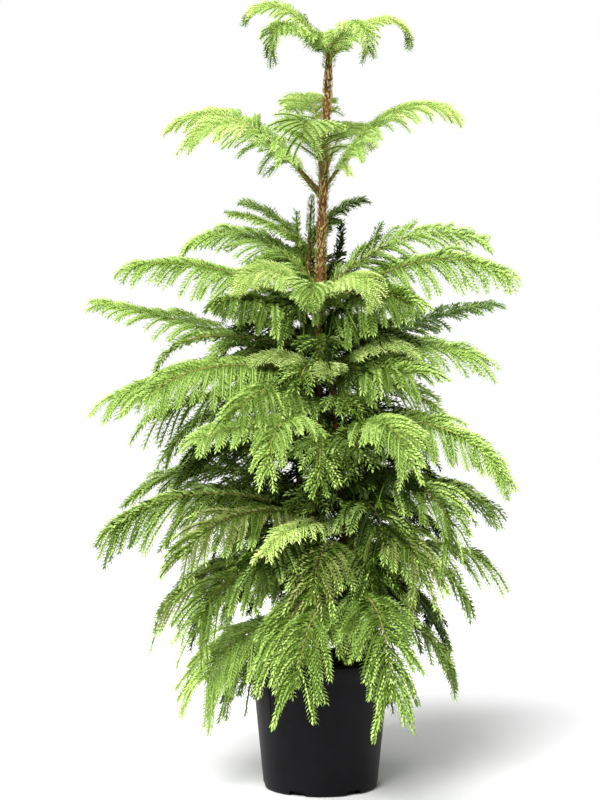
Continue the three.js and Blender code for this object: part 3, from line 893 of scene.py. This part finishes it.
def twig_path(point, along, across, side, length, bough, share):
    """The points of a twig that leaves its bough sideways, closes forward and droops, and its normal."""
    spread = mix(TWIG_SPREAD, TWIG_SPREAD_AT_TIP, share ** 2)
    spread = math.radians(spread + draw.uniform(-TWIG_SPREAD_VARIES, TWIG_SPREAD_VARIES))
    lift = bough["lift"] + draw.uniform(-TWIG_LIFT_VARIES, TWIG_LIFT_VARIES)
    hang = bough["hang"] * (1 + draw.uniform(-TWIG_HANG_VARIES, TWIG_HANG_VARIES))
    closes = TWIG_CLOSES + draw.uniform(-TWIG_CLOSES_VARIES, TWIG_CLOSES_VARIES)
    shares = ((np.arange(TWIG_STEPS) + 0.5) / TWIG_STEPS)[:, None]
    turns = spread * mix(1, closes, shares)
    step = along * np.cos(turns) + across * side * np.sin(turns) + UP * (lift - hang * shares)
    points = point + np.vstack([np.zeros(3), np.cumsum(unit(step), 0)]) * length * MM / TWIG_STEPS
    return points, unit(np.cross(step[1], UP))


class Needles:
    """Needles gathered by tone until they are joined into pieces."""

    def __init__(self):
        self.rows = {tone: [] for tone in NEEDLE_COLOURS}
        self.masses = {tone: set() for tone in NEEDLE_COLOURS}

    def clothe(self, points, normal, radii, tones, mass, spacing, length, half, lean, uneven):
        """Set pairs of needles round a stalk. Tones names each needle's tone by its share along."""
        lengths = np.linalg.norm(np.diff(points, axis=0), axis=1)
        run = np.concatenate([[0], np.cumsum(lengths)])
        pairs = int(run[-1] / (2 * spacing * MM))
        if pairs < 2:
            return
        count = 2 * pairs
        share = np.repeat((np.arange(pairs) + 0.5) / pairs, 2)
        at = share * run[-1]
        slopes = unit(np.gradient(points, axis=0))
        middle = np.stack([np.interp(at, run, points[:, k]) for k in range(3)], 1)
        along = unit(np.stack([np.interp(at, run, slopes[:, k]) for k in range(3)], 1))
        over = np.cross(along, normal)
        tilt = np.where(np.arange(pairs) % 2, PAIR_TILT, -PAIR_TILT)
        turn = np.repeat(tilt, 2) + np.tile((0, math.pi), pairs) + draw.normal(0, uneven, count)
        out = normal * np.cos(turn)[:, None] + over * np.sin(turn)[:, None]
        slant = lean - TIP_CLOSES * share ** TIP_CLOSES_POWER
        slant = np.radians(slant + draw.normal(0, NEEDLE_LEAN_VARIES, count))[:, None]
        size = length * MM * draw.uniform(*NEEDLE_SIZES, count)
        size = (size * (1 - TIP_SHRINKS * share ** TIP_SHRINKS_POWER))[:, None]
        way = along * np.cos(slant) + out * np.sin(slant)
        root = middle + out * np.interp(at, run, radii)[:, None] * NEEDLE_SEAT
        tip = root + way * size
        wide = unit(np.cross(along, out)) * half * MM
        chosen = np.array(tones(share))
        for tone in sorted(set(chosen)):
            rows = chosen == tone
            self.rows[tone].append(np.stack([part[rows] for part in (root, tip, wide)], 1))
            self.masses[tone].add(mass)

    def make_pieces(self):
        pattern = np.array([(0, 3, 2), (1, 2, 3), (0, 2, 1), (0, 1, 3)])
        for tone, blocks in self.rows.items():
            rows = np.concatenate(blocks)
            material = mottled_material(
                f"Needles {tone}", NEEDLE_COLOURS[tone], gloss=NEEDLE_GLOSS[tone], **NEEDLE_FINISH)
            parts = math.ceil(len(rows) / NEEDLES_PER_PIECE)
            for number, block in enumerate(np.array_split(rows, parts)):
                root, tip, wide = block.transpose(1, 0, 2)
                bow = np.cross(unit(wide), unit(tip - root))
                middle = mix(root, tip, NEEDLE_FULLEST) + bow * NEEDLE_BOW * MM
                spots = np.stack([root, tip, middle + wide, middle - wide], 1).reshape(-1, 3)
                faces = np.arange(len(block))[:, None, None] * 4 + pattern
                name = f"needles_{tone}_{number + 1}"
                piece = array_piece(name, spots, faces.reshape(-1, 3), smooth=False)
                nodes = sorted(self.masses[tone] & set(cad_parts))
                finish_piece(piece, material, nodes)


def rung(step):
    return LADDER[int(np.clip(step, 0, len(LADDER) - 1))]


def tone_rule(tone, inner):
    """How a stalk's needles take their tones: darker at its root, at times paler at its tip, and inner
    steps darker as painted shade.
    """
    if tone in LADDER:
        palest = 0 if tone == LADDER[0] else 1
        step = max(palest, LADDER.index(tone) + draw.choice(TONE_STEPS) + inner)
        root, body = rung(step + 1), rung(step)
        end = rung(max(palest, step - draw.choice(TIP_TONE_STEPS)))
    else:
        root, body, end = APART[tone]
        body = draw.choice((root, body, body, body))

    def tones(share):
        return [end if s > TIP_TONE_FROM else root if s < ROOT_TONE_TO else body for s in share]

    return tones


class Wood:
    """Paths of one kind of wood, joined later into one piece."""

    def __init__(self):
        self.paths = []
        self.normals = []
        self.radii = []

    def add(self, path, normal, radii):
        self.paths.append(path)
        self.normals.append(normal)
        self.radii.append(radii)

    def make_piece(self, name, sides, material, nodes):
        spots, faces = tube_arrays(
            np.array(self.paths), np.array(self.normals), np.array(self.radii), sides)
        finish_piece(array_piece(name, spots, faces), material, nodes)


def grow_bough(bough, needles, boughs, twigs):
    """One bough with its twigs and all their needles."""
    tone = bough["row"][4]
    shade = "light" if tone in LIT_TONES else "dark"
    core = rung(LADDER.index(tone) + bough["core"]) if tone in LADDER else "mid"
    points, across = bough_curve(bough)
    shares = np.linspace(0, 1, BOUGH_STEPS + 1)
    radii = mix(BOUGH_ROOT_RADIUS, BOUGH_TIP_RADIUS, shares) * MM
    boughs[shade].add(points, across, radii)
    seats = radii * (LIMB_SWELL / NEEDLE_SEAT if bough["limb"] > 0 else 1)
    needles.clothe(
        points, across, seats, tone_rule(tone, 0), bough["mass"], BOUGH_NEEDLE_SPACING,
        bough["axis"], bough["half"], BOUGH_NEEDLE_LEAN, BOUGH_NEEDLES_UNEVEN)
    slopes = unit(np.gradient(points, axis=0))
    spread = rolled(across, BOUGH_ROLL + draw.uniform(-BOUGH_ROLL_VARIES, BOUGH_ROLL_VARIES))
    thin = mix(1, TWIG_TAPER, np.linspace(0, 1, TWIG_STEPS + 1) ** 2) * TWIG_RADIUS * MM
    spray = bough["row"][1] * (1 - bough["limb"])
    count = max(FEWEST_TWIGS, round(spray * (LAST_TWIG - bough["first"]) / bough["pitch"]))
    for k in range(count):
        for side in (1, -1):
            place = k + 0.5 - side / 4 + draw.uniform(-TWIG_PLACE_VARIES, TWIG_PLACE_VARIES)
            share = mix(bough["first"], LAST_TWIG, place / count)
            size = bough["twig"] * twig_share(share, bough["root"], bough["tip"])
            size *= 1 + draw.uniform(-TWIG_LENGTH_VARIES, TWIG_LENGTH_VARIES)
            on_bough = mix(bough["limb"], 1, share)
            root = np.array([np.interp(on_bough, shares, points[:, j]) for j in range(3)])
            along = unit(np.array([np.interp(on_bough, shares, slopes[:, j]) for j in range(3)]))
            path, normal = twig_path(root, along, spread, side, size, bough, share)
            if clear_of_wood(path):
                ended = bough["ends"] and share > ENDS_FROM
                rule = tone_rule(bough["ends"] if ended else tone, int(share < SHADED_SHARE))
                twigs[core].add(path, normal, thin)
                needles.clothe(
                    path, normal, thin, rule, bough["mass"], bough["spacing"], bough["needle"],
                    bough["half"], bough["lean"], TWIG_NEEDLES_UNEVEN)


def stem_heights(stem):
    count = math.ceil((stem["top"] - SOIL_TOP + STEM_SUNK) / STEM_STEP)
    return np.linspace(SOIL_TOP - STEM_SUNK, stem["top"], count + 1)


def knuckle(name, height):
    """How much a stem swells where a whorl of boughs leaves it."""
    rings = [w["height"] for w in WHORLS.values() if w["stem"] == name]
    rings.append(STEMS[name]["fork"] + TUFT_BOUGH_START)
    return 1 + sum(KNUCKLE * math.exp(-((height - ring) / KNUCKLE_HEIGHT) ** 2) for ring in rings)


def one_tone(tone):
    return lambda share: [tone] * len(share)


def make_stems(needles):
    material = mottled_material("Young bark", **STEM_FINISH)
    for name, stem in STEMS.items():
        heights = stem_heights(stem)
        points = [tuple(stem_point(stem, h)) for h in heights]
        radii = [stem_radius(stem, h) * knuckle(name, h) for h in heights]
        piece = raise_rings(name + "_bark", points, radii, STEM_SIDES)
        bark_relief(piece, BARK_GRAIN, BARK_RELIEF)
        finish_piece(piece, material, [name])
        seats = np.array(radii) / NEEDLE_SEAT
        needled_from = min(STEM_NEEDLES_FROM, stem["fork"] - STEM_NEEDLED)
        needled = (heights > needled_from) & (heights < stem["fork"])
        leader = heights > stem["fork"] - STEM_STEP
        for part, tone, kind in ((needled, "stem", STEM_NEEDLES), (leader, "bright", LEADER_NEEDLES)):
            stalk = np.array(points)[part]
            needles.clothe(stalk, np.array((1.0, 0, 0)), seats[part], one_tone(tone), name, **kind)


def make_limbs(boughs):
    material = mottled_material("Limb bark", **LIMB_FINISH)
    for bough in boughs:
        if bough["limb"] == 0:
            continue
        points, _ = bough_curve(bough)
        count = round(BOUGH_STEPS * bough["limb"]) + 1
        shares = np.linspace(0, bough["limb"], count)
        radii = mix(BOUGH_ROOT_RADIUS, BOUGH_TIP_RADIUS, shares) * LIMB_SWELL * MM
        heading, _, rise, _, _ = bough["row"]
        turn = (0, math.radians(90 - rise), math.radians(heading))
        name = bough["mass"].replace("spray", "bough")
        rings = [tuple(point) for point in points[:count]]
        piece = raise_rings(name + "_bark", rings, list(radii), LIMB_SIDES, turn)
        bark_relief(piece, LIMB_GRAIN, LIMB_RELIEF)
        finish_piece(piece, material, [name])


# Camera, light and floor

def place_camera():
    view = bpy.data.cameras.new("view")
    view.sensor_fit = "VERTICAL"
    view.sensor_height = SENSOR_HEIGHT
    view.lens = FOCAL_PIXELS / FRAME_HEIGHT_PIXELS * SENSOR_HEIGHT
    camera = bpy.data.objects.new("view", view)
    camera.location = CAMERA_PLACE
    camera.rotation_euler = (math.radians(90), 0, 0)
    bpy.context.collection.objects.link(camera)
    bpy.context.scene.camera = camera
    bpy.context.scene.view_settings.view_transform = "Standard"


def lay_floor():
    bpy.ops.object.select_all(action="DESELECT")
    bpy.ops.mesh.primitive_plane_add(size=FLOOR_SIZE, location=(0, 0, FLOOR_LEVEL))
    floor = start_piece("floor")
    floor.data.materials.append(mottled_material("Pale floor", **FLOOR_FINISH))


def set_surround():
    """A white surround that gives less light than it shows."""
    world = bpy.data.worlds.new("studio")
    world.use_nodes = True
    nodes, links = world.node_tree.nodes, world.node_tree.links
    sky = nodes["Background"]
    sky.inputs["Color"].default_value = (1, 1, 1, 1)
    path = nodes.new("ShaderNodeLightPath")
    strength = nodes.new("ShaderNodeMapRange")
    strength.inputs["To Min"].default_value = SKY_LIGHT
    strength.inputs["To Max"].default_value = SKY_SEEN
    links.new(path.outputs["Is Camera Ray"], strength.inputs["Value"])
    links.new(strength.outputs["Result"], sky.inputs["Strength"])
    bpy.context.scene.world = world


def hang_lamps():
    key = bpy.data.lights.new("key", "SUN")
    key.energy = KEY_STRENGTH
    key.angle = math.radians(KEY_ANGLE)
    sun = bpy.data.objects.new("key", key)
    sun.rotation_euler = [math.radians(turn) for turn in KEY_TILT]
    bpy.context.collection.objects.link(sun)
    for name, place, size, power in LAMPS:
        light = bpy.data.lights.new(name, "AREA")
        light.shape = "DISK"
        light.size = size
        light.energy = power
        lamp = bpy.data.objects.new(name, light)
        lamp.location = place
        aim = np.array(LAMP_AIM) - np.array(place)
        lamp.rotation_euler = (
            math.acos(-aim[2] / np.linalg.norm(aim)), 0, math.atan2(aim[1], aim[0]) - math.pi / 2)
        bpy.context.collection.objects.link(lamp)


place_camera()
lay_floor()
set_surround()
hang_lamps()
make_pot()
make_soil()
make_chips()
needles = Needles()
boughs = {shade: Wood() for shade in BOUGH_COLOURS}
twigs = {tone: Wood() for tone in LADDER[1:]}
main_boughs = bough_list()
for bough in main_boughs + companion_boughs(main_boughs) + inner_boughs():
    grow_bough(bough, needles, boughs, twigs)
make_stems(needles)
make_limbs(main_boughs)
masses = sorted({bough["mass"] for bough in main_boughs})
for shade, colours in BOUGH_COLOURS.items():
    material = mottled_material(f"Bough bark {shade}", colours, **BOUGH_FINISH)
    boughs[shade].make_piece(f"boughs_{shade}", BOUGH_SIDES, material, masses)
for tone, wood in twigs.items():
    material = mottled_material(f"Green twig {tone}", NEEDLE_COLOURS[tone], **TWIG_FINISH)
    wood.make_piece(f"twigs_{tone}", TWIG_SIDES, material, masses)
needles.make_pieces()
